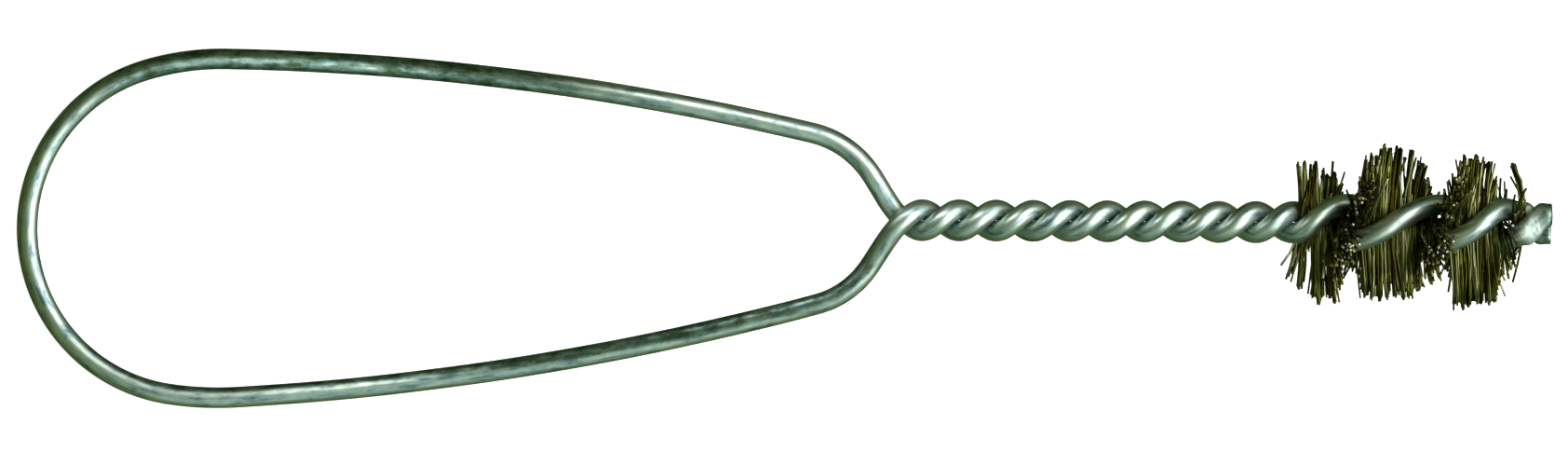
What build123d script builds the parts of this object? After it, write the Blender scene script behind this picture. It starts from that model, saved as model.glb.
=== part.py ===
from build123d import *

import os
from collections import namedtuple
from math import cos, radians, sin, sqrt

# Twisted-wire cleaning brush with a loop handle.
#
# One length of round wire is bent into a teardrop loop, its two legs cross at the neck and are twisted
# on each other as far as the tip, and straight filaments are trapped between the legs in the last
# stretch, where the twist fans them out into a helical brush.
#
# Frame, in millimetres: the stem's axis is X and points from the loop to the tip, the legs' cut ends
# lie in the plane X = 0, the loop lies flat in XY, and +Z is the side on which the -Y leg crosses over.

os.makedirs("parts", exist_ok=True)

# The wire and its even twist
wire_d = 2.3
leg_gap = 0.1  # between the two legs where they lie on each other
stem_turns = 5.1  # of even twist, from the neck to where the legs begin to part
stem_lay = 3.53 * wire_d  # advance in one turn; wire this thick can hardly be twisted tighter
fill_lay = 19.9  # advance in one turn where the filaments hold the legs apart
tip_lay = 11.4  # advance in one turn of the bare end

# The brush
filament_d = 0.25
filament_l = 16.6
filament_gap = 0.03  # between a filament and its neighbours
fill_length = 25.0  # along the stem, from the first filament to the last
fill_thickness = 1.74  # of the filaments, pressed between the legs
tip_bare = 2.6  # from the last filament to the cut ends
tuft_count = 26  # nodes that the filaments are shared out into
trim_offset = 0.55  # of the trimmed brush's middle from the stem's axis, towards -Y
trim_slide = 0.55  # of every filament along its own length
trim_jitter = 0.5  # between the ends of neighbouring filaments

# Where the legs part and the twist changes, as lengths along the stem
part_lead = 7.6 * filament_d  # the legs begin to part this far before the first filament, to let it in
part_over = 6.9
loosen_lag = 0.4  # the twist begins to loosen this far after the first filament
loosen_over = 4.1
tighten_lead = 8.2  # the twist begins to tighten this far before the last filament
tighten_over = 5.1
close_lead = 5.6  # the legs begin to close this far before the last filament
close_over = 7.4

# The loop, on the wire's centre line
loop_length = 97.1  # from the neck to the outside of the far end
bow_r = 18.2
bow_offset = -1.5  # of the bow's centre from the stem's axis
Leg = namedtuple("Leg", "side bow_angle blend_r leg_r shoulder_r exit_angle run")
upper_leg = Leg(side=1, bow_angle=107.7, blend_r=28.5, leg_r=300, shoulder_r=10.7, exit_angle=54.4, run=6.5)
lower_leg = Leg(side=-1, bow_angle=98.3, blend_r=36.5, leg_r=316, shoulder_r=9.9, exit_angle=54.1, run=6.8)

# Places along the stem
fill_end = -tip_bare
fill_start = fill_end - fill_length
twist_end = fill_start - part_lead
neck = twist_end - stem_turns * stem_lay
bow_centre = Vector(neck - loop_length + bow_r + wire_d / 2, bow_offset)
stem_r = (wire_d + leg_gap) / 2
fill_r = (wire_d + fill_thickness) / 2
overrun = 1.5  # the legs are made this much too long, then cut flush


def ease(x, start, length):
    """0 before start and 1 after start + length, with a smooth rise between them."""
    share = min(max((x - start) / length, 0), 1)
    return share * share * (3 - 2 * share)


def leg_radius(x):
    """Distance of each leg's centre line from the stem's axis."""
    parted = ease(x, twist_end, part_over) - ease(x, fill_end - close_lead, close_over)
    return stem_r + (fill_r - stem_r) * parted


def lay(x):
    """Advance in one turn of the twist at x."""
    loosened = stem_lay + (fill_lay - stem_lay) * ease(x, fill_start + loosen_lag, loosen_over)
    return loosened + (tip_lay - fill_lay) * ease(x, fill_end - tighten_lead, tighten_over)


def twist_at(x):
    """Angle in degrees of the crossing leg about the stem's axis, from +Y towards +Z, at x."""
    steps = 100
    step = (x - twist_end) / steps
    turns = sum(step / lay(twist_end + (i + 0.5) * step) for i in range(steps))
    return 90 - 360 * (stem_turns + turns)


def across(angle):
    """Unit vector across the stem's axis."""
    return Vector(0, cos(radians(angle)), sin(radians(angle)))


def leg_point(x, side):
    """A leg's centre line in the twist: side is 1 for the crossing leg and -1 for the other."""
    return Vector(x, 0, 0) + across(twist_at(x)) * leg_radius(x) * side


def leg_tangent(x, side):
    """The way a leg runs at x, towards the tip."""
    step = 0.001
    return leg_point(x + step, side) - leg_point(x, side)


# The wire's path: up one leg from its tip, round the loop and back along the other
def meeting_point(centre_a, reach_a, centre_b, reach_b):
    """The point at reach_a from centre_a and reach_b from centre_b, on their -Y side."""
    line = centre_b - centre_a
    along = (reach_a**2 - reach_b**2 + line.length**2) / (2 * line.length)
    aside = sqrt(reach_a**2 - along**2)
    unit = line.normalized()
    options = [centre_a + unit * along + Vector(-unit.Y, unit.X) * aside * turn for turn in (-1, 1)]
    return min(options, key=lambda point: point.Y)


def leg_outline(leg):
    """One leg of the loop: the ends of its shoulder, long and blend arcs, and their centres.

    Each arc's circle touches the next from inside. They are worked out on the +Y side, and a leg on
    the -Y side is mirrored.
    """
    bow = Vector(bow_centre.X, bow_centre.Y * leg.side)
    heading = Vector(-cos(radians(leg.exit_angle)), sin(radians(leg.exit_angle)))
    start = Vector(neck, 0) + heading * leg.run
    shoulder = start + Vector(-heading.Y, heading.X) * leg.shoulder_r
    bow_side = Vector(cos(radians(leg.bow_angle)), sin(radians(leg.bow_angle)))
    blend = bow + bow_side * (bow_r - leg.blend_r)
    long = meeting_point(shoulder, leg.leg_r - leg.shoulder_r, blend, leg.leg_r - leg.blend_r)
    ends = [
        start,
        long + (shoulder - long).normalized() * leg.leg_r,
        long + (blend - long).normalized() * leg.leg_r,
        bow + bow_side * bow_r,
    ]
    centres = [shoulder, long, blend]
    return [[Vector(p.X, p.Y * leg.side) for p in points] for points in (ends, centres)]


def arc_about(centre, start, end):
    """Arc of under half a turn about centre, from start to end."""
    middle = (start - centre).normalized() + (end - centre).normalized()
    ThreePointArc(start, centre + middle.normalized() * (start - centre).length, end)


def add_leg(leg, twist_side):
    """Adds one leg to the path, from past its tip to the bow, and returns where it meets the bow."""
    ends, centres = leg_outline(leg)
    turn_step = 30
    xs = [neck]
    while xs[-1] < overrun:
        xs.append(xs[-1] + lay(xs[-1]) * turn_step / 360)
    heading = Vector(cos(radians(leg.exit_angle)), -sin(radians(leg.exit_angle)) * leg.side)
    Spline(
        [ends[0]] + [leg_point(x, twist_side) for x in xs],
        tangents=[heading, leg_tangent(xs[-1], twist_side)],
        tangent_scalars=[1, 1],
    )
    for centre, start, end in zip(centres, ends, ends[1:]):
        arc_about(centre, start, end)
    return ends[-1]


with BuildPart() as stem_wire:
    with BuildLine() as wire_path:
        bow_start = add_leg(lower_leg, 1)
        bow_end = add_leg(upper_leg, -1)
        arc_about(bow_centre, bow_start, bow_end)
    path = wire_path.wire()
    with BuildSketch(Plane(path @ 0, z_dir=path % 0)):
        Circle(wire_d / 2)
    sweep(path=path)
    split(bisect_by=Plane.YZ, keep=Keep.BOTTOM)
stem_wire.part.label = "stem_wire"
export_step(stem_wire.part, "parts/stem_wire.step")


# The filaments, in planes across the stem that stand just clear of each other
def filament_reach(x):
    """How far off the stem's axis, towards a leg, a filament's centre line can lie and clear both legs."""
    clear = (wire_d + filament_d) / 2 + filament_gap
    samples = 20
    nearby = [clear * i / samples for i in range(-samples, samples + 1)]
    return min(
        leg_radius(x + step) * cos(radians(twist_at(x + step) - twist_at(x))) - sqrt(clear**2 - step**2)
        for step in nearby
    )


def filament_plane(x, offset, uneven):
    """The plane of a filament's middle section, at x and offset from the stem's axis towards a leg.

    uneven, from -1 to 1, slides the filament along its own length as the trimming left it.
    """
    along = across(twist_at(x) + 90)
    slide = trim_jitter / 2 * uneven - trim_slide - trim_offset * along.Y
    middle = Vector(x, 0, 0) + across(twist_at(x)) * offset + along * slide
    return Plane(middle, x_dir=(1, 0, 0), z_dir=along)


filament_pitch = filament_d + filament_gap
layer_count = int(fill_length / filament_pitch) + 1
golden = (sqrt(5) - 1) / 2  # the fractions of its multiples are spread evenly, without a pattern
layers = []
filament_count = 0
for layer in range(layer_count):
    x = fill_start + layer * filament_pitch
    rows = int(2 * filament_reach(x) / filament_pitch) + 1
    planes = []
    for row in range(rows):
        offset = (row - (rows - 1) / 2) * filament_pitch
        uneven = 2 * (filament_count * golden % 1) - 1
        planes.append(filament_plane(x, offset, uneven))
        filament_count += 1
    layers.append(planes)

for tuft in range(tuft_count):
    tuft_layers = layers[tuft * layer_count // tuft_count : (tuft + 1) * layer_count // tuft_count]
    with BuildPart() as filaments:
        with BuildSketch(*sum(tuft_layers, [])):
            Circle(filament_d / 2)
        extrude(amount=filament_l / 2, both=True)
    name = f"filaments_{tuft + 1:02d}"
    filaments.part.label = name
    export_step(filaments.part, f"parts/{name}.step")
print(f"{filament_count} filaments in {layer_count} layers, {path.length:.0f} mm of wire before the cut")
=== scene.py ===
"""Twisted-wire cleaning brush: galvanised wire with a loop handle, and brass bristles in its twist.

Sizes are in millimetres and become metres when a mesh is made. The stem's axis is X and points out of
the tip, the loop lies flat in XY, and +Z is the side on which the loop's -Y leg crosses over the other.
"""

import math

import bpy
import numpy as np
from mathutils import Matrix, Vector


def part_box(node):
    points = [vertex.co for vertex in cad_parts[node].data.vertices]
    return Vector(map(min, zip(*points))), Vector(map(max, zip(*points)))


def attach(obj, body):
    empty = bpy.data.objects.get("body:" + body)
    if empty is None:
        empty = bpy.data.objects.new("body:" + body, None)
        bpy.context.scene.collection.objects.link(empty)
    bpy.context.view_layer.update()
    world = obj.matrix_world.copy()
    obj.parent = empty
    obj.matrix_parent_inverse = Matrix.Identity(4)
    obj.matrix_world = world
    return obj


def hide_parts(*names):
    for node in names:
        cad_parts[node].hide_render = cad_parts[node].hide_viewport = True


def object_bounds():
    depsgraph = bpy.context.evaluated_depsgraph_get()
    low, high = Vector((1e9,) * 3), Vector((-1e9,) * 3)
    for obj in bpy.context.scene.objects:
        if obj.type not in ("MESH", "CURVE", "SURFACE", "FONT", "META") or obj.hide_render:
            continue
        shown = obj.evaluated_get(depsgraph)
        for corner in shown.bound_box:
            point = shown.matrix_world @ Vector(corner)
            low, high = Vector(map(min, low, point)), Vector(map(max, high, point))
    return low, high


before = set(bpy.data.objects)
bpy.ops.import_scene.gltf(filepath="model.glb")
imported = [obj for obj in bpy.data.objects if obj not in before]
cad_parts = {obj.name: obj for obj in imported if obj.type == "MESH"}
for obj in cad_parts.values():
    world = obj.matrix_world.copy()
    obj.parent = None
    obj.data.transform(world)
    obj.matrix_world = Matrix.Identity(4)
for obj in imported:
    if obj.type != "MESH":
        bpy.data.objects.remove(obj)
cad_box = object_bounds()

MM = 0.001
rng = np.random.default_rng(7)

# A stretch is four numbers: it begins at the first and rises over the second, then fades from the third
# over the fourth.

# The wire and its twist
wire_r = 1.15
stem_r = 1.17  # of a leg's centre line from the stem's axis: the legs lie on each other
fill_r = 2.02  # the same, where the bristles hold the legs apart
stem_lay = 8.12  # advance in one turn of the even twist
fill_lay = 19.9  # the same, where the bristles hold the legs apart
tip_lay = 11.4  # the same, at the bare end
neck = -70.9
parted = (-28.7, 6.1, -8.2, 7.4)  # the stretch on which the bristles hold the legs apart
loosen_start, loosen_over = -27.2, 4.1
tighten_start, tighten_over = -10.8, 5.1
overrun = 1.5  # the legs are made this much too long, then end at the cut, X = 0

# The loop, on the wire's centre line: the bow, and each leg from the bow to the neck
bow_x = -148.7
bow_y = -1.5
bow_r = 18.2
upper_leg = dict(side=1, bow_angle=107.7, blend_r=28.5, leg_r=300.0, shoulder_r=10.7,
                 exit_angle=54.4, run=6.5)
lower_leg = dict(side=-1, bow_angle=98.3, blend_r=36.5, leg_r=316.0, shoulder_r=9.9,
                 exit_angle=54.1, run=6.8)

# The wire's surface
wire_sides = 28
ring_step = 0.32  # along the wire
swell = 0.008  # share of the radius by which drawn and dipped wire is uneven
swell_along, swell_around = 3.1, 17  # wire in which it runs through a radian, and moves round by one
shear_over = 3.0  # wire over which the rings lean, until the last lies in the plane of the cut
crimp = (-3.6, 1.8, -1.7, 1.7)  # the stretch on which the pair was pressed to hold the bristles
crimp_wider, crimp_flatter = 0.42, 0.22
scuffed = (0.6, 1.5, 2.8, 1.4)  # a stretch measured from the cut, along the wire
scuff_depth = 0.7
# Painted shade: stretches where the zinc's colour is mixed towards dark olive and blue-grey, standing in
# for dark reflections. It covers the +Y run all round, the inward side of the -Y run and both legs near the
# tip.
upper_painted_shade = (-166, 14, -118, 24)  # along the loop's +Y side
lower_painted_shade = (-168, 10, -76, 5)  # along its -Y side, where it lies on the inside only
shade_edge, shade_spread = 0.25, 0.75  # off the centre line, in radii, and how far it spreads outward
spread_start, spread_over = -135, 45
shade_soft = 0.4  # the edge's softness, in radii
tip_painted_shade = 0.65
tip_shade_start, tip_shade_over = -6.5, 2.5

# The bristles
bristle_d = 0.28
bristle_sides, bristle_rings = 5, 8
bristles_per_mm = 50  # along the stem, where the brush is full
brush_end = -2.0
longest = 9.4  # from the stem's axis to a bristle's end
free_r = 8.3  # the same for a bristle that isn't drawn into a clump
free_r_at_tip = 4.5  # the same above the stem, past free_tip
free_tip = -4.2
most_short = 1.3  # of a bristle's end, below its full reach
trim_offset = 0.55  # of the trimmed brush's middle from the stem's axis, towards -Y
least_room = 0.05  # off the axis, where the legs leave the bristles none
let_go = 1.2  # from the axis to where the legs let go of a bristle
turn_start, turn_over = 0.8, 3.5  # where along a bristle it turns towards its clump


def ease(x, start, length):
    """0 before start, 1 after start + length, and 3s^2 - 2s^3 of the share s between them."""
    share = np.clip((x - start) / length, 0, 1)
    return share * share * (3 - 2 * share)


def stretch(x, start, rise, end, fall):
    """1 along a stretch and 0 off it: it eases in from start over rise, and out from end over fall."""
    return ease(x, start, rise) - ease(x, end, fall)


def leg_radius(x):
    """Distance of a leg's centre line from the stem's axis at x."""
    return stem_r + (fill_r - stem_r) * stretch(x, *parted)


def lay(x):
    """Advance in one turn of the twist at x."""
    loosened = stem_lay + (fill_lay - stem_lay) * ease(x, loosen_start, loosen_over)
    return loosened + (tip_lay - fill_lay) * ease(x, tighten_start, tighten_over)


# Turns of the twist from the neck on, added up in fine steps to a little past the legs' ends
twist_x = np.linspace(neck, 3, 7500)
twist_turns = np.concatenate([[0], np.cumsum(np.diff(twist_x) / lay((twist_x[1:] + twist_x[:-1]) / 2))])


def twist_angle(x):
    """Angle of the crossing leg about the stem's axis, from +Y towards +Z: a quarter turn at the neck,
    less a turn for each lay passed since."""
    return np.pi / 2 - 2 * np.pi * np.interp(x, twist_x, twist_turns)


def across(angle):
    """Unit vectors across the stem's axis, at an angle from +Y towards +Z."""
    return np.stack([np.zeros_like(angle), np.cos(angle), np.sin(angle)], axis=-1)


def unit(v):
    """Vectors divided by their own lengths."""
    return v / np.linalg.norm(v, axis=-1, keepdims=True)


# The wire's centre line
def strand(side, step=0.05):
    """A leg in the twist: its distance from the axis, turned by the twist, along x from neck to tip."""
    x = np.arange(neck, overrun, step)
    points = across(twist_angle(x)) * (leg_radius(x) * side)[:, None]
    points[:, 0] = x
    return points


def hermite(start, start_tangent, end, end_tangent, count=60):
    """Cubic from start to end that leaves and arrives along the two unit tangents."""
    t = np.linspace(0, 1, count)[:, None]
    chord = np.linalg.norm(end - start)
    return ((2 * t**3 - 3 * t**2 + 1) * start + (t**3 - 2 * t**2 + t) * chord * start_tangent
            + (3 * t**2 - 2 * t**3) * end + (t**3 - t**2) * chord * end_tangent)


def arc(centre, start, end, step=0.3, fewest=8):
    """Arc about centre from start to end, the short way round."""
    radius = np.linalg.norm(start - centre)
    a = math.atan2(start[1] - centre[1], start[0] - centre[0])
    b = math.atan2(end[1] - centre[1], end[0] - centre[0])
    sweep = (b - a + math.pi) % (2 * math.pi) - math.pi
    angles = a + sweep * np.linspace(0, 1, max(fewest, int(abs(sweep) * radius / step)))
    return np.stack([centre[0] + radius * np.cos(angles), centre[1] + radius * np.sin(angles),
                     0 * angles], axis=-1)


def loop_leg(side, bow_angle, blend_r, leg_r, shoulder_r, exit_angle, run):
    """One side of the loop from the bow to its shoulder: a blend arc, a long arc and the shoulder's arc.

    Each circle touches the next from inside, so the long arc's centre is the point at the difference of
    the radii from both neighbours' centres. It is worked out on the +Y side and mirrored.
    """
    bow = np.array([bow_x, bow_y * side, 0.0])
    exit_rad = math.radians(exit_angle)
    heading = np.array([-math.cos(exit_rad), math.sin(exit_rad), 0.0])
    start = np.array([neck, 0.0, 0.0]) + heading * run
    shoulder = start + np.array([-heading[1], heading[0], 0.0]) * shoulder_r
    bow_side = np.array([math.cos(math.radians(bow_angle)), math.sin(math.radians(bow_angle)), 0.0])
    blend = bow + bow_side * (bow_r - blend_r)
    line = blend - shoulder
    span = np.linalg.norm(line)
    along = ((leg_r - shoulder_r) ** 2 - (leg_r - blend_r) ** 2 + span**2) / (2 * span)
    aside = math.sqrt((leg_r - shoulder_r) ** 2 - along**2)
    ahead = line / span
    sideways = np.array([-ahead[1], ahead[0], 0.0])
    long = min([shoulder + ahead * along + sideways * aside * s for s in (-1, 1)], key=lambda p: p[1])
    leg_start = long + unit(shoulder - long) * leg_r
    leg_end = long + unit(blend - long) * leg_r
    bow_end = bow + bow_side * bow_r
    points = np.concatenate([arc(blend, bow_end, leg_end), arc(long, leg_end, leg_start)[1:],
                             arc(shoulder, leg_start, start)[1:]])
    mirror = np.array([1, side, 1])
    return points * mirror, -heading * mirror


def wire_path():
    """Evenly spaced points on the whole wire's centre line, and how far along the wire each one lies.

    It runs from the tip of the crossing leg round the loop to the other tip.
    """
    halves = []
    for leg, side in ((lower_leg, 1), (upper_leg, -1)):
        twist = strand(side)
        loop, heading = loop_leg(**leg)
        tangent = unit(twist[1] - twist[0])
        crossing = hermite(loop[-1], heading, twist[0], tangent)
        halves.append(np.concatenate([loop, crossing[1:], twist[1:]]))
    bow = arc(np.array([bow_x, bow_y, 0.0]), halves[0][0], halves[1][0])
    points = np.concatenate([halves[0][::-1], bow[1:-1], halves[1]])
    length = np.concatenate([[0], np.cumsum(np.linalg.norm(np.diff(points, axis=0), axis=1))])
    even = np.arange(0, length[-1], ring_step)
    return np.stack([np.interp(even, length, points[:, k]) for k in range(3)], axis=-1), even


def make_mesh(name, vertices, faces, smooth, attributes):
    """A mesh object from arrays: vertices in millimetres, faces, which are smooth, point attributes."""
    mesh = bpy.data.meshes.new(name)
    mesh.from_pydata((vertices * MM).tolist(), [], faces)
    mesh.polygons.foreach_set("use_smooth", smooth)
    for key, values in attributes.items():
        if values.ndim == 1:
            data = mesh.attributes.new(key, "FLOAT", "POINT").data
            data.foreach_set("value", values.astype(np.float32))
        else:
            data = mesh.attributes.new(key, "FLOAT_VECTOR", "POINT").data
            data.foreach_set("vector", values.astype(np.float32).ravel())
    mesh.update()
    obj = bpy.data.objects.new(name, mesh)
    bpy.context.scene.collection.objects.link(obj)
    return obj


def tube_faces(rings, sides, tubes=1):
    """Faces of closed tubes, one after another in the vertices, and whether each face is smooth.

    Quads join each ring to the next. After them come the flat ends, each tube's first and then its last.
    """
    ring, side = np.meshgrid(np.arange(rings - 1), np.arange(sides), indexing="ij")
    beside = (side + 1) % sides
    here, ahead = ring * sides, (ring + 1) * sides
    quads = np.stack([here + side, here + beside, ahead + beside, ahead + side], axis=-1)
    rim = np.arange(sides)
    ends = np.stack([rim[::-1], (rings - 1) * sides + rim])
    first = np.arange(tubes)[:, None, None] * rings * sides
    quads = (quads.reshape(1, -1, 4) + first).reshape(-1, 4).tolist()
    ends = (ends + first).reshape(-1, sides).tolist()
    return quads + ends, [True] * len(quads) + [False] * len(ends)


def galvanised_wire():
    """The wire: a circle carried along its path, square to it, sheared near both ends to the cut plane.

    A ring's points are the centre plus wire_r times cos and sin of the girth angle along two directions
    square to the path. The radius swells and shrinks by a hundredth of a millimetre. Near an end each
    point slides along the path by a growing share of what would bring its ring square to the stem, and
    the last ring slides on into the cut. Just before the cut the pair is pressed flatter and wider.

    Three attributes go with each point. along_wire is its place in the straight wire, for patterns that
    follow it. scuff is how far the crimping scraped the zinc, from 0 to 1. The third is painted shade,
    from 0 to 1: how far the colour is darkened towards olive and blue-grey to stand in for dark
    reflections, all round the wire on the loop's +Y side, on the inside of its -Y side, spreading outward
    towards the neck, and on both legs near the tip.
    """
    centre, along = wire_path()
    inside = centre[:, 0] < 0
    first, last = np.argmax(inside), len(inside) - np.argmax(inside[::-1]) - 1
    centre, along = centre[first:last + 1], along[first:last + 1]
    tangent = unit(np.gradient(centre, axis=0))
    up = unit(np.array([0, 0, 1.0]) - tangent * tangent[:, 2:3])
    out = np.cross(tangent, up)
    girth = np.linspace(0, 2 * np.pi, wire_sides, endpoint=False)
    high_side = np.sin(girth + along[:, None] / swell_around)
    uneven = 1 + swell * np.sin(along / swell_along)[:, None] * high_side
    ring = up[:, None] * np.cos(girth)[None, :, None] + out[:, None] * np.sin(girth)[None, :, None]
    points = centre[:, None] + ring * (wire_r * uneven)[:, :, None]

    from_end = np.minimum(along - along[0], along[-1] - along)
    share = 1 - ease(from_end, 0, shear_over)
    slide = (points[:, :, 0] - centre[:, None, 0]) / tangent[:, None, 0] * share[:, None]
    slide[[0, -1]] += (centre[[0, -1], 0] / tangent[[0, -1], 0])[:, None]
    points = points - slide[:, :, None] * tangent[:, None]
    pressed = stretch(points[:, :, 0], *crimp)
    points[:, :, 1] *= 1 + crimp_wider * pressed
    points[:, :, 2] *= 1 - crimp_flatter * pressed

    rings = len(centre)
    along_wire = np.stack([np.repeat(along, wire_sides), np.tile(np.cos(girth) * wire_r, rings),
                           np.tile(np.sin(girth) * wire_r, rings)], axis=-1) * MM
    scuff = np.repeat(scuff_depth * stretch(from_end, *scuffed), wire_sides)
    x, y = centre[:, None, 0], centre[:, None, 1]
    # Painted shade: the share by which the colour darkens, all round on the +Y run, on the inward side of
    # the -Y run, and near the tip
    inward = (points[:, :, 1] - y) / wire_r
    edge = shade_edge - shade_spread * ease(x, spread_start, spread_over)
    lower_side = ease(inward, edge, shade_soft) * stretch(x, *lower_painted_shade)
    painted_shade = (np.where(y > 0, stretch(x, *upper_painted_shade), lower_side)
              + tip_painted_shade * ease(x, tip_shade_start, tip_shade_over))
    faces, smooth = tube_faces(rings, wire_sides)
    return make_mesh("galvanised_wire", points.reshape(-1, 3), faces, smooth,
                     {"along_wire": along_wire, "scuff": scuff, "painted_shade": painted_shade.reshape(-1)})


# Where the bristles end, above and below the stem as it is seen from +Z. The bristles that are pinched
# from root on, up to the next row's root, draw together into one clump: root, the clump's end along the
# stem, its width, and how far it stands off the axis.
upper_clumps = np.array([
    (-28.2, -27.95, 0.15, 6.6), (-27.3, -27.10, 0.30, 6.9), (-26.7, -26.40, 0.35, 6.5),
    (-26.1, -25.75, 0.45, 6.9), (-25.3, -24.95, 0.25, 5.1), (-24.9, -24.80, 0.15, 3.4),
    (-24.75, -24.30, 0.40, 5.1), (-24.2, -23.60, 0.30, 5.8), (-23.5, -23.00, 0.20, 3.9),
    (-23.0, -22.35, 0.30, 5.2), (-22.3, -21.80, 0.40, 3.8), (-21.6, -21.30, 0.15, 7.5),
    (-21.3, -20.55, 0.45, 7.4), (-20.5, -19.80, 0.45, 7.5), (-19.8, -19.20, 0.45, 7.4),
    (-19.2, -18.45, 0.60, 8.6), (-18.5, -17.75, 0.65, 8.2), (-17.8, -16.95, 0.60, 8.5),
    (-17.2, -16.45, 0.40, 8.3), (-16.7, -16.50, 0.30, 3.4), (-16.1, -15.20, 0.30, 8.0),
    (-15.4, -15.20, 0.20, 3.4), (-15.15, -14.45, 0.20, 6.6), (-14.9, -14.00, 0.25, 7.0),
    (-14.3, -13.35, 0.30, 4.7), (-13.5, -12.55, 0.25, 3.8), (-12.6, -11.60, 0.50, 3.4),
    (-11.7, -10.50, 0.12, 7.2), (-11.4, -10.15, 0.45, 6.8), (-10.5, -9.60, 0.45, 7.3),
    (-9.8, -9.00, 0.45, 7.0), (-9.1, -8.20, 0.50, 7.4), (-8.3, -7.70, 0.35, 6.9),
    (-7.8, -7.50, 0.20, 3.6), (-7.5, -6.95, 0.12, 7.0), (-7.3, -6.60, 0.20, 6.8),
    (-6.8, -6.00, 0.25, 4.9), (-6.1, -5.30, 0.30, 3.4), (-5.0, -4.35, 0.10, 4.3),
    (-3.7, -4.43, 0.10, 6.7),
])
lower_clumps = np.array([
    (-28.2, -28.80, 0.20, 6.5), (-27.4, -28.20, 0.20, 7.0), (-27.1, -27.60, 0.20, 7.7),
    (-26.8, -26.90, 0.20, 6.9), (-26.7, -26.50, 0.10, 3.4), (-26.3, -26.00, 0.50, 8.6),
    (-25.8, -25.45, 0.40, 9.2), (-25.2, -25.00, 0.30, 8.3), (-24.8, -24.72, 0.05, 3.6),
    (-24.7, -24.30, 0.30, 8.4), (-24.3, -23.80, 0.30, 8.9), (-23.9, -23.15, 0.35, 7.5),
    (-23.2, -22.30, 0.50, 6.3), (-22.5, -22.00, 0.20, 4.0), (-22.2, -21.50, 0.40, 6.4),
    (-21.8, -21.10, 0.50, 6.6), (-21.2, -20.70, 0.25, 8.1), (-20.8, -20.10, 0.50, 7.9),
    (-20.2, -19.40, 0.60, 8.3), (-19.4, -18.60, 0.70, 8.4), (-18.6, -17.80, 0.70, 8.3),
    (-17.8, -17.00, 0.70, 8.2), (-17.0, -16.20, 0.70, 8.4), (-16.2, -15.50, 0.60, 8.2),
    (-15.5, -14.80, 0.50, 7.4), (-14.9, -14.45, 0.30, 6.9), (-14.6, -14.30, 0.20, 4.0),
    (-14.3, -13.30, 0.35, 6.7), (-13.5, -12.45, 0.20, 6.7), (-12.6, -12.00, 0.20, 6.6),
    (-12.1, -11.50, 0.20, 8.4), (-11.6, -10.90, 0.25, 8.0), (-11.2, -10.15, 0.60, 9.1),
    (-10.4, -9.40, 0.70, 9.2), (-9.6, -8.80, 0.50, 9.1), (-8.8, -8.00, 0.50, 8.8),
    (-8.1, -7.60, 0.30, 9.0), (-7.6, -7.36, 0.10, 5.2), (-7.4, -6.80, 0.40, 9.1),
    (-7.0, -6.20, 0.40, 8.6), (-6.5, -5.90, 0.30, 6.7), (-5.9, -5.30, 0.20, 5.6),
    (-5.0, -4.55, 0.20, 5.6), (-3.8, -3.90, 0.20, 4.0),
])

# Clumps and stray bristles
place_jitter = 0.25  # of a bristle's place across its clump, which goes from -1 to 1
half_spread = 0.27  # share of the clump's width by which the outermost bristle's end is off its middle
rounding = 0.55  # the outermost bristle stops this much short of the clump's reach
stray_chance, stray_by = 0.07, 0.6
strays_end = -5  # none strays nearer to the tip

# Neighbouring bristles are alike in tone, and sway alike, over about the width of one step
tone_x = np.arange(-29, 0, 0.22)
tones = rng.uniform(0, 1, len(tone_x))
sways = rng.normal(0, 0.14, len(tone_x))


def clump_ends(x, clumps):
    """Place along the stem and reach of each bristle's end, for bristles pinched at x.

    A bristle's place in its clump runs from -1 to 1 across the clump's root. Its end lies as far across
    the clump's end, and its reach falls off in step with its distance from the middle.
    """
    index = np.searchsorted(clumps[:, 0], x) - 1
    low, high = clumps[index, 0], np.append(clumps[1:, 0], brush_end)[index]
    place = 2 * (x - low) / (high - low) - 1 + rng.normal(0, place_jitter, len(x))
    end = clumps[index, 1] + clumps[index, 2] * half_spread * place
    strays = rng.uniform(0, 1, len(x)) < np.where(x < strays_end, stray_chance, 0)
    end = end + np.where(strays, rng.normal(0, stray_by, len(x)), 0)
    return end, clumps[index, 3] - rounding * np.abs(place)


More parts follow.
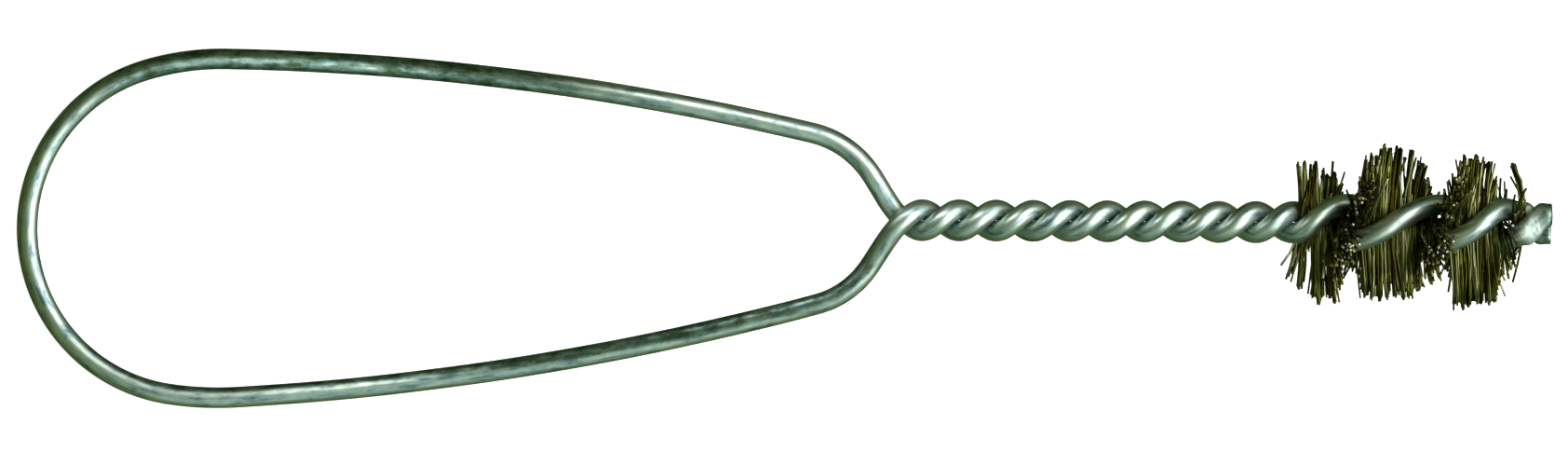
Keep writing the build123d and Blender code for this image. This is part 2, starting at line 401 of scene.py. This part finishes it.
def bristle_tuft(name, x_low, x_high, count):
    """A share of the bristles, each a five-sided tube along a bent line through the twist.

    A bristle is pinched at x, off the axis by offset towards a leg, and square to the line that joins
    the legs. Most are drawn into clumps: they turn towards the plane of the loop and lean along the stem
    to their clump's end. The further a bristle stands out of that plane, the likelier it is free, and
    then it stays nearly where the twist put it. The turn eases in along the bristle. The lean grows with
    the power 1.3 of the distance from where the legs let go of it, and a sine makes a slight wave.
    """
    x = rng.uniform(x_low, x_high, count)
    room = np.maximum(leg_radius(x) - wire_r - bristle_d / 2, least_room)
    offset = rng.uniform(-1, 1, count) * room
    pinched = (twist_angle(x) + np.pi) % np.pi - np.pi / 2  # from +Y, at most a quarter turn either way
    steep = np.abs(pinched) / (np.pi / 2)
    free_chance = 1.1 * ease(steep, 0.35, 0.6)  # none near the loop's plane, all square to it
    drawn = rng.uniform(0, 1, count) > free_chance
    turned = np.where(drawn, rng.uniform(0.6, 0.85, count), rng.uniform(0, 0.2, count))
    settled = pinched * (1 - turned) + rng.normal(0, 0.06, count)

    # Both ends of each bristle: how far off the axis, and where along the stem
    short = rng.uniform(0, 1, (2, count)) ** 3 * most_short
    ends, lengths = [], []
    for half, (clumps, side) in enumerate(((upper_clumps, 1), (lower_clumps, -1))):
        clump_end, reach = clump_ends(x, clumps)
        wander = np.where(x > -4, 0.3, 1)  # of a free bristle: little, by the tip
        free_end = x + rng.normal(0, 0.6, count) * wander
        ends.append(np.where(drawn, clump_end, free_end))
        length = np.minimum(reach / np.cos(settled), longest)
        free_length = free_r - side * (trim_offset * np.cos(settled)) + rng.normal(0, 0.3, count)
        if side > 0:
            free_length = np.where(x > free_tip, free_r_at_tip, free_length)
        lengths.append(np.where(drawn, length, free_length) - short[half])

    # The bent centre lines, from the lower end to the upper
    share = np.linspace(-1, 1, bristle_rings)[None, :]
    up = share > 0
    end = np.where(up, ends[0][:, None], ends[1][:, None])
    length = np.where(up, lengths[0][:, None], lengths[1][:, None])
    distance = length * share
    growth = np.clip((np.abs(distance) - let_go) / (length - let_go), 0, 1) ** 1.3
    bent = pinched[:, None] + (settled - pinched)[:, None] * ease(np.abs(distance), turn_start, turn_over)
    bent = bent + rng.normal(0, 0.035, (count, 2)).repeat(bristle_rings // 2, axis=1) * growth
    centre = across(bent) * distance[:, :, None] + (across(pinched + np.pi / 2) * offset[:, None])[:, None]
    sway = np.interp(x, tone_x, sways)[:, None] + rng.normal(0, 0.08, (count, 1))
    phase = rng.uniform(0, 6, (count, 1)) * 0.3
    wave = sway * np.sin(share * 5 + phase)
    centre[:, :, 0] = x[:, None] + (end - x[:, None]) * growth + wave

    # The tubes around them
    tangent = unit(np.gradient(centre, axis=1))
    side_a = unit(np.array([1.0, 0, 0]) - tangent * tangent[:, :, :1])
    side_b = np.cross(tangent, side_a)
    girth = np.linspace(0, 2 * np.pi, bristle_sides, endpoint=False)
    radius = bristle_d / 2 * rng.uniform(0.8, 1.15, count)[:, None, None, None]
    ring = side_a[:, :, None] * np.cos(girth)[:, None] + side_b[:, :, None] * np.sin(girth)[:, None]
    vertices = (centre[:, :, None] + ring * radius).reshape(-1, 3)
    faces, smooth = tube_faces(bristle_rings, bristle_sides, count)

    # Tone from 0, dark, to 1, rubbed bright; on cut ends, how pale the cut is: fresh metal and a painted
    # glint
    layer_tone = np.where(offset > 0, 0.12, -0.12)
    tone = np.clip(np.interp(x, tone_x, tones) + layer_tone + rng.normal(0, 0.2, count), 0, 1)
    tone = np.repeat(tone, bristle_rings * bristle_sides)
    tuft = make_mesh(name, vertices, faces, smooth, {"tone": tone})
    # Painted glint: a few cut ends are pale, partly the fresh metal of the cut
    bright = np.repeat(0.5 + 0.5 * rng.uniform(0, 1, count) ** 5, 2)
    cut = np.concatenate([np.zeros(len(faces) - 2 * count), bright]).astype(np.float32)
    tuft.data.attributes.new("cut_end_glint", "FLOAT", "FACE").data.foreach_set("value", cut)
    return tuft


# Materials
def srgb(code):
    """Linear colour of an sRGB hex value."""
    channels = np.array([int(code[i:i + 2], 16) for i in (1, 3, 5)]) / 255
    linear = np.where(channels <= 0.04045, channels / 12.92, ((channels + 0.055) / 1.055) ** 2.4)
    return (*linear.tolist(), 1.0)


def add_node(tree, kind, settings=None, inputs=None, stops=()):
    """Adds a node with its settings; an input is a value, or a socket of another node to link from.

    stops are a colour ramp's places, each with its sRGB hex value.
    """
    node = tree.nodes.new(kind)
    for key, value in (settings or {}).items():
        setattr(node, key, value)
    for key, value in (inputs or {}).items():
        if isinstance(value, bpy.types.NodeSocket):
            tree.links.new(value, node.inputs[key])
        else:
            node.inputs[key].default_value = value
    if stops:
        elements = node.color_ramp.elements
        while len(elements) < len(stops):
            elements.new(0.5)
        for element, (place, code) in zip(elements, stops):
            element.position = place
            element.color = srgb(code)
    return node


def new_material(name):
    """An empty node material, and its node tree."""
    material = bpy.data.materials.new(name)
    material.use_nodes = True
    material.node_tree.nodes.clear()
    return material, material.node_tree


# Sockets of a Mix node that mixes colours: the two that go in, and the one that comes out
mix_from, mix_to, mixed = 6, 7, 2

# Patterns on the wire, in cells per metre along it and across it
streak_scale = (220, 2400, 2400)  # 4.5 x 0.4 mm; real drawing lines are finer, and wouldn't show
patch_scale = (500, 1100, 1100)  # 2 x 0.9 mm, as the zinc ran and was wiped
scrape_scale = (2200, 900, 900)  # 0.45 x 1.1 mm, across the wire, from the crimping
zinc_relief = 0.00003  # metres
scraped_rougher = 0.3


def hot_dip_galvanised_steel():
    """Hot-dip galvanised steel wire: satin zinc, grey with a little blue and green.

    Drawing left fine blue-grey streaks along the wire, and wiping after the dip left patches, smoother
    where they are paler. Both show in the colour and in a faint relief. Painted shade mixes some
    stretches towards a mottled dark olive and blue-grey, standing in for dark reflections, and the
    crimping has scraped bright marks near the cut.
    """
    material, tree = new_material("hot_dip_galvanised_steel")
    along_wire = add_node(tree, "ShaderNodeAttribute", {"attribute_name": "along_wire"}).outputs["Vector"]
    near_cut = add_node(tree, "ShaderNodeAttribute", {"attribute_name": "scuff"}).outputs["Fac"]
    shade_mask = add_node(tree, "ShaderNodeAttribute", {"attribute_name": "painted_shade"}).outputs["Fac"]
    streak_at, patch_at, scrape_at = [
        add_node(tree, "ShaderNodeMapping", inputs={"Vector": along_wire, "Scale": scale}).outputs["Vector"]
        for scale in (streak_scale, patch_scale, scrape_scale)]
    streak = add_node(tree, "ShaderNodeTexNoise", inputs={
        "Vector": streak_at, "Scale": 1.0, "Detail": 3.0, "Roughness": 0.6}).outputs["Fac"]
    patch = add_node(tree, "ShaderNodeTexNoise", inputs={
        "Vector": patch_at, "Scale": 1.0, "Detail": 4.0, "Roughness": 0.65}).outputs["Fac"]
    scrape = add_node(tree, "ShaderNodeTexNoise", inputs={
        "Vector": scrape_at, "Scale": 1.0, "Detail": 2.0}).outputs["Fac"]
    mottle = add_node(tree, "ShaderNodeMath", {"operation": "MULTIPLY"},
                      {0: streak, 1: patch}).outputs["Value"]
    zinc = add_node(tree, "ShaderNodeValToRGB", inputs={"Fac": mottle}, stops=[
        (0.13, "#637F8E"), (0.22, "#B2C4BF"), (0.38, "#D6E1D4")]).outputs["Color"]

    # Painted shade: the zinc is mixed towards dark olive and blue-grey by the painted shade attribute, less
    # on the bright streaks
    shade_mottle = add_node(tree, "ShaderNodeMapRange", inputs={
        "Value": mottle, "From Min": 0.2, "From Max": 0.42, "To Min": 0.92,
        "To Max": 0.5}).outputs["Result"]
    painted_shade = add_node(tree, "ShaderNodeMath", {"operation": "MULTIPLY"},
                      {0: shade_mask, 1: shade_mottle}).outputs["Value"]
    shade_colour = add_node(tree, "ShaderNodeValToRGB", inputs={"Fac": patch}, stops=[
        (0.42, "#3E5634"), (0.62, "#6E9294")]).outputs["Color"]
    shaded_zinc = add_node(tree, "ShaderNodeMix", {"data_type": "RGBA"}, {
        "Factor": painted_shade, mix_from: zinc, mix_to: shade_colour}).outputs[mixed]

    scraped = add_node(tree, "ShaderNodeMapRange", inputs={
        "Value": scrape, "From Min": 0.46, "From Max": 0.7}).outputs["Result"]
    scuff = add_node(tree, "ShaderNodeMath", {"operation": "MULTIPLY"},
                     {0: near_cut, 1: scraped}).outputs["Value"]
    colour = add_node(tree, "ShaderNodeMix", {"data_type": "RGBA"}, {
        "Factor": scuff, mix_from: shaded_zinc, mix_to: srgb("#E4E8E0")}).outputs[mixed]

    wiped = add_node(tree, "ShaderNodeMapRange", inputs={
        "Value": patch, "From Min": 0.3, "From Max": 0.7, "To Min": 0.47, "To Max": 0.36}).outputs["Result"]
    rough = add_node(tree, "ShaderNodeMath", {"operation": "MULTIPLY_ADD"},
                     {0: near_cut, 1: scraped_rougher, 2: wiped}).outputs["Value"]
    relief = add_node(tree, "ShaderNodeBump", inputs={
        "Strength": 0.3, "Distance": zinc_relief, "Height": mottle}).outputs["Normal"]
    shader = add_node(tree, "ShaderNodeBsdfPrincipled", inputs={
        "Base Color": colour, "Metallic": 1.0, "Roughness": rough, "Normal": relief})
    add_node(tree, "ShaderNodeOutputMaterial", inputs={"Surface": shader.outputs["BSDF"]})
    return material


def tarnished_brass_wire():
    """Fine drawn brass wire, darkened in use to an olive brown.

    The tone goes from nearly black to the pale olive of rubbed wires. Most cut ends are dark, and a few
    are near white, partly the fresh metal of the cut and partly a painted glint.
    """
    material, tree = new_material("tarnished_brass_wire")
    tone = add_node(tree, "ShaderNodeAttribute", {"attribute_name": "tone"}).outputs["Fac"]
    cut = add_node(tree, "ShaderNodeAttribute", {"attribute_name": "cut_end_glint"}).outputs["Fac"]
    body = add_node(tree, "ShaderNodeValToRGB", inputs={"Fac": tone}, stops=[
        (0.0, "#34290C"), (0.3, "#434415"), (0.7, "#64642A"), (1.0, "#A4A678")]).outputs["Color"]
    # Cut ends: dark, or pale from fresh metal and a painted glint
    cut_glint_colour = add_node(tree, "ShaderNodeValToRGB", inputs={"Fac": cut}, stops=[
        (0.55, "#1F1D0C"), (1.0, "#CACAB4")]).outputs["Color"]
    at_cut = add_node(tree, "ShaderNodeMath", {"operation": "GREATER_THAN"},
                      {0: cut, 1: 0.25}).outputs["Value"]
    colour = add_node(tree, "ShaderNodeMix", {"data_type": "RGBA"}, {
        "Factor": at_cut, mix_from: body, mix_to: cut_glint_colour}).outputs[mixed]
    shader = add_node(tree, "ShaderNodeBsdfPrincipled", inputs={
        "Base Color": colour, "Metallic": 1.0, "Roughness": 0.4})
    add_node(tree, "ShaderNodeOutputMaterial", inputs={"Surface": shader.outputs["BSDF"]})
    return material


def white_sheet():
    """A plain matt white sheet, lit from behind."""
    material, tree = new_material("white_sheet")
    shader = add_node(tree, "ShaderNodeBsdfPrincipled", inputs={
        "Base Color": srgb("#F4F4F2"), "Roughness": 0.9, "Emission Color": srgb("#FFFFFF"),
        "Emission Strength": 0.95})
    add_node(tree, "ShaderNodeOutputMaterial", inputs={"Surface": shader.outputs["BSDF"]})
    return material


# The pieces
wire = galvanised_wire()
wire.data.materials.append(hot_dip_galvanised_steel())
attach(wire, "root")
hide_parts("stem_wire")


def fullness(x):
    """Share of bristles_per_mm at x: a third where the brush begins, then all, then a fifth at the tip."""
    return 0.35 + 0.65 * ease(x, -26.8, 2.6) - 0.78 * ease(x, -6.6, 1.8)


brass = tarnished_brass_wire()
tuft_nodes = sorted(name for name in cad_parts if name.startswith("filaments_"))
for node in tuft_nodes:
    low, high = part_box(node)
    x_low, x_high = low.x / MM, high.x / MM
    count = int(bristles_per_mm * fullness((x_low + x_high) / 2) * (x_high - x_low))
    tuft = bristle_tuft(node.replace("filaments", "brass_bristles"), x_low, x_high, count)
    tuft.data.materials.append(brass)
    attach(tuft, "root")
    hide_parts(node)

# The floor touches the far end of the loop and the lowest bristles, so it slopes down towards the tip.
# Everything from here on is in metres.
loop_x = cad_box[0][0]
brush_x = -0.015
brush_drop = 8.05 * MM  # of the floor, from the loop's far end to the brush
floor_gap = 0.0001
slope = math.atan2(brush_drop, brush_x - loop_x)
half = 2.0  # of the floor's width
corners = np.array([[-half, -half, 0], [half, -half, 0], [half, half, 0], [-half, half, 0]])
turn = np.array([[math.cos(slope), 0, math.sin(slope)], [0, 1, 0], [-math.sin(slope), 0, math.cos(slope)]])
corners = corners @ turn.T + np.array([loop_x, 0, -wire_r * MM - floor_gap])
floor_mesh = bpy.data.meshes.new("floor")
floor_mesh.from_pydata(corners.tolist(), [], [(0, 1, 2, 3)])
floor_mesh.materials.append(white_sheet())
floor = bpy.data.objects.new("floor", floor_mesh)
bpy.context.scene.collection.objects.link(floor)
floor.visible_glossy = False


# Light
def softbox(name, place, target, width, height, radiance, colour="#FFFFFF"):
    """A rectangular light at place that faces target. Its power is pi times its area times radiance."""
    data = bpy.data.lights.new(name, "AREA")
    data.color = srgb(colour)[:3]
    data.shape = "RECTANGLE"
    data.size, data.size_y = width, height
    data.energy = radiance * math.pi * width * height
    light = bpy.data.objects.new(name, data)
    bpy.context.scene.collection.objects.link(light)
    light.location = place
    direction = np.array(target) - np.array(place)
    light.rotation_euler = Vector(direction).to_track_quat("-Z", "Y").to_euler()
    light.visible_camera = False


# A large one past the tip, a small one low over the bow, a strip over the loop's +Y side, and a faint
# blue one off its -Y side
softbox("key_box", (0.052, -0.005, 0.110), (-0.06, 0, 0), 0.22, 0.15, 3.3)
softbox("bow_box", (-0.137, 0.004, 0.031), (-0.165, -0.004, 0), 0.036, 0.036, 2.3)
softbox("loop_box", (-0.081, 0.0235, 0.024), (-0.083, 0.0145, 0), 0.042, 0.0105, 4.6)
softbox("side_box", (-0.120, -0.065, 0.055), (-0.120, 0, 0), 0.10, 0.09, 0.36, "#B4DAF4")

# The room: dim olive, and paler towards bright_side
bright_side = (0.3, -0.68, 0.669)
world = bpy.data.worlds.new("studio")
bpy.context.scene.world = world
world.use_nodes = True
studio = world.node_tree
studio.nodes.clear()
outward = add_node(studio, "ShaderNodeTexCoord").outputs["Generated"]
facing = add_node(studio, "ShaderNodeVectorMath", {"operation": "DOT_PRODUCT"},
                  {0: outward, 1: bright_side}).outputs["Value"]
level = add_node(studio, "ShaderNodeMapRange", inputs={
    "Value": facing, "From Min": -1.0, "From Max": 1.0}).outputs["Result"]
glow = add_node(studio, "ShaderNodeValToRGB", inputs={"Fac": level}, stops=[
    (0.1, "#465528"), (0.55, "#4C5C2C"), (0.83, "#6E804E"), (1.0, "#A9BBA4")]).outputs["Color"]
background = add_node(studio, "ShaderNodeBackground", inputs={"Color": glow, "Strength": 1.0})
add_node(studio, "ShaderNodeOutputWorld", inputs={"Surface": background.outputs["Background"]})

# The camera looks straight down, turned a little so that the stem falls to the right. Its view is
# view_width wide on the stem's axis, about view_x and view_y.
roll = math.radians(0.34)
view_width = 0.17177
view_x, view_y = -0.0840, -0.0010
lens, sensor = 150.0, 36.0
camera_data = bpy.data.cameras.new("camera")
camera_data.lens = lens
camera_data.sensor_width = sensor
camera_data.clip_start = 0.01
camera = bpy.data.objects.new("camera", camera_data)
right = np.array([math.cos(roll), math.sin(roll), 0])
above = np.array([-math.sin(roll), math.cos(roll), 0])
camera.location = view_x * right + view_y * above + np.array([0, 0, view_width * lens / sensor])
camera.rotation_euler = (0, 0, roll)
bpy.context.scene.collection.objects.link(camera)
bpy.context.scene.camera = camera
bpy.context.scene.view_settings.view_transform = "Standard"
